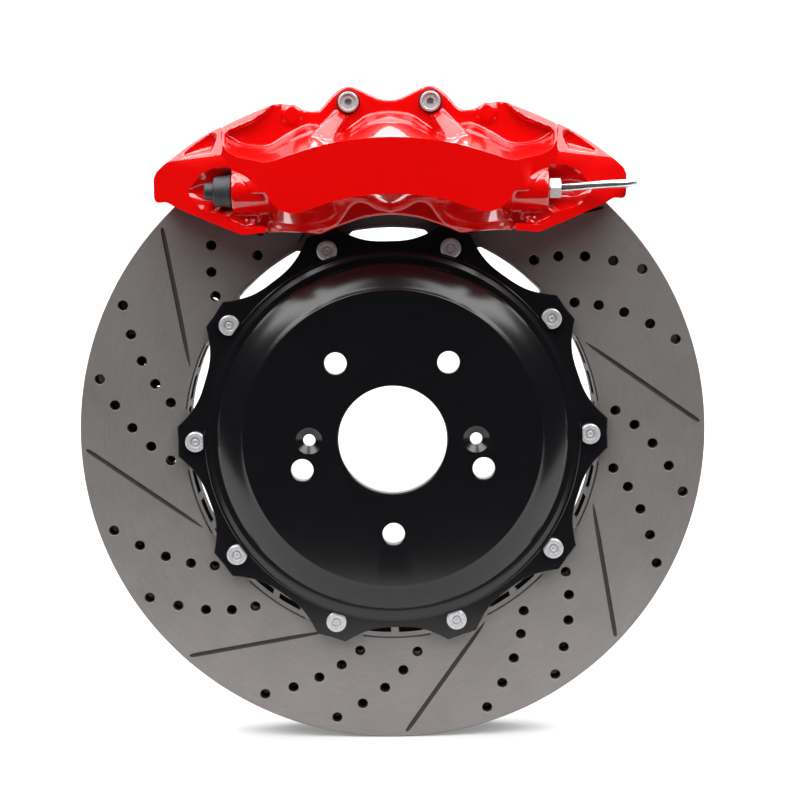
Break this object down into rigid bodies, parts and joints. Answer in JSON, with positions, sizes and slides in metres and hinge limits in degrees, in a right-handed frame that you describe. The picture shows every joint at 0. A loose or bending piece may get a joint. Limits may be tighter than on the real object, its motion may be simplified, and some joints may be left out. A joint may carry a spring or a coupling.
{
  "type": "brake caliper with disc",
  "caption": "Fixed multi-piston brake caliper over a drilled, slotted, ventilated disc on a black bell hat.",
  "frame": {"origin": "on the wheel's axis, at the face where the rotor hat meets the hub", "axes": "+Y runs inboard along the wheel's axis, +Z from the axis to the caliper, +X to the right seen from outside the vehicle"},
  "size_m": [0.3798, 0.1505, 0.397],
  "materials": {
    "red_paint": "gloss",
    "ground_iron": "ground",
    "black_anodised": "satin black anodised",
    "zinc_plated": "bright zinc",
    "pad_steel": "satin",
    "friction_lining": "matte",
    "piston_aluminium": "satin",
    "black_rubber": "matte"
  },
  "bodies": {
    "caliper": {"caliper_outer_half": "red_paint", "caliper_inner_half": "red_paint", "bridge": "red_paint", "body_bolt_1": "zinc_plated", "bridge_screw_1": "zinc_plated", "body_bolt_2": "zinc_plated", "bridge_screw_2": "zinc_plated", "body_bolt_3": "zinc_plated", "bridge_screw_3": "zinc_plated", "body_bolt_4": "zinc_plated", "bridge_screw_4": "zinc_plated", "pad_pin_1": "zinc_plated", "pad_pin_2": "zinc_plated", "crossover_pipe": "zinc_plated", "piston_seal_outer_1": "black_rubber", "piston_seal_outer_2": "black_rubber", "piston_seal_outer_3": "black_rubber", "tube_nut_outer": "zinc_plated", "piston_seal_inner_1": "black_rubber", "piston_seal_inner_2": "black_rubber", "piston_seal_inner_3": "black_rubber", "tube_nut_inner": "zinc_plated"},
    "rotor": {"rotor_ring": "ground_iron", "rotor_hat": "black_anodised", "hat_bolt_01": "zinc_plated", "hat_nut_01": "zinc_plated", "hat_bolt_02": "zinc_plated", "hat_nut_02": "zinc_plated", "hat_bolt_03": "zinc_plated", "hat_nut_03": "zinc_plated", "hat_bolt_04": "zinc_plated", "hat_nut_04": "zinc_plated", "hat_bolt_05": "zinc_plated", "hat_nut_05": "zinc_plated", "hat_bolt_06": "zinc_plated", "hat_nut_06": "zinc_plated", "hat_bolt_07": "zinc_plated", "hat_nut_07": "zinc_plated", "hat_bolt_08": "zinc_plated", "hat_nut_08": "zinc_plated", "hat_bolt_09": "zinc_plated", "hat_nut_09": "zinc_plated", "hat_bolt_10": "zinc_plated", "hat_nut_10": "zinc_plated"},
    "outer_pad": {"outer_pad_plate": "pad_steel", "outer_pad_lining": "friction_lining"},
    "inner_pad": {"inner_pad_plate": "pad_steel", "inner_pad_lining": "friction_lining"},
    "piston_outer_1": {"piston_outer_1": "piston_aluminium"},
    "piston_outer_2": {"piston_outer_2": "piston_aluminium"},
    "piston_outer_3": {"piston_outer_3": "piston_aluminium"},
    "piston_inner_1": {"piston_inner_1": "piston_aluminium"},
    "piston_inner_2": {"piston_inner_2": "piston_aluminium"},
    "piston_inner_3": {"piston_inner_3": "piston_aluminium"},
    "bleed_screw_outer": {"bleed_screw_outer": "zinc_plated"},
    "bleed_cap_outer": {"bleed_cap_outer": "black_rubber"},
    "bleed_screw_inner": {"bleed_screw_inner": "zinc_plated"},
    "bleed_cap_inner": {"bleed_cap_inner": "black_rubber"}
  },
  "joints": [
    {"name": "rotor_spin", "type": "hinge", "parent": "caliper", "child": "rotor", "pos_m": [0, 0, 0], "axis": [0, 1, 0], "continuous": true},
    {"name": "outer_pad_slide", "type": "slide", "parent": "caliper", "child": "outer_pad", "axis": [0, 1, 0], "range_m": [0, 0.001]},
    {"name": "inner_pad_slide", "type": "slide", "parent": "caliper", "child": "inner_pad", "axis": [0, -1, 0], "range_m": [0, 0.001]},
    {"name": "piston_outer_1_slide", "type": "slide", "parent": "caliper", "child": "piston_outer_1", "axis": [0, 1, 0], "range_m": [0, 0.001]},
    {"name": "piston_outer_2_slide", "type": "slide", "parent": "caliper", "child": "piston_outer_2", "axis": [0, 1, 0], "range_m": [0, 0.001]},
    {"name": "piston_outer_3_slide", "type": "slide", "parent": "caliper", "child": "piston_outer_3", "axis": [0, 1, 0], "range_m": [0, 0.001]},
    {"name": "piston_inner_1_slide", "type": "slide", "parent": "caliper", "child": "piston_inner_1", "axis": [0, -1, 0], "range_m": [0, 0.001]},
    {"name": "piston_inner_2_slide", "type": "slide", "parent": "caliper", "child": "piston_inner_2", "axis": [0, -1, 0], "range_m": [0, 0.001]},
    {"name": "piston_inner_3_slide", "type": "slide", "parent": "caliper", "child": "piston_inner_3", "axis": [0, -1, 0], "range_m": [0, 0.001]},
    {"name": "bleed_screw_outer_turn", "type": "hinge", "parent": "caliper", "child": "bleed_screw_outer", "pos_m": [-0.0895, -0.03, 0.14758], "axis": [-1, 0, 0], "range_deg": [0, 180]},
    {"name": "bleed_cap_outer_pull", "type": "slide", "parent": "caliper", "child": "bleed_cap_outer", "axis": [-1, 0, 0], "range_m": [0, 0.016]},
    {"name": "bleed_screw_inner_turn", "type": "hinge", "parent": "caliper", "child": "bleed_screw_inner", "pos_m": [-0.0895, 0.086, 0.14758], "axis": [-1, 0, 0], "range_deg": [0, 180]},
    {"name": "bleed_cap_inner_pull", "type": "slide", "parent": "caliper", "child": "bleed_cap_inner", "axis": [-1, 0, 0], "range_m": [0, 0.016]}
  ],
  "couplings": [
    {"joint": "inner_pad_slide", "follows": "outer_pad_slide", "ratio": 1},
    {"joint": "piston_outer_1_slide", "follows": "outer_pad_slide", "ratio": 1},
    {"joint": "piston_outer_2_slide", "follows": "outer_pad_slide", "ratio": 1},
    {"joint": "piston_outer_3_slide", "follows": "outer_pad_slide", "ratio": 1},
    {"joint": "piston_inner_1_slide", "follows": "outer_pad_slide", "ratio": 1},
    {"joint": "piston_inner_2_slide", "follows": "outer_pad_slide", "ratio": 1},
    {"joint": "piston_inner_3_slide", "follows": "outer_pad_slide", "ratio": 1}
  ]
}
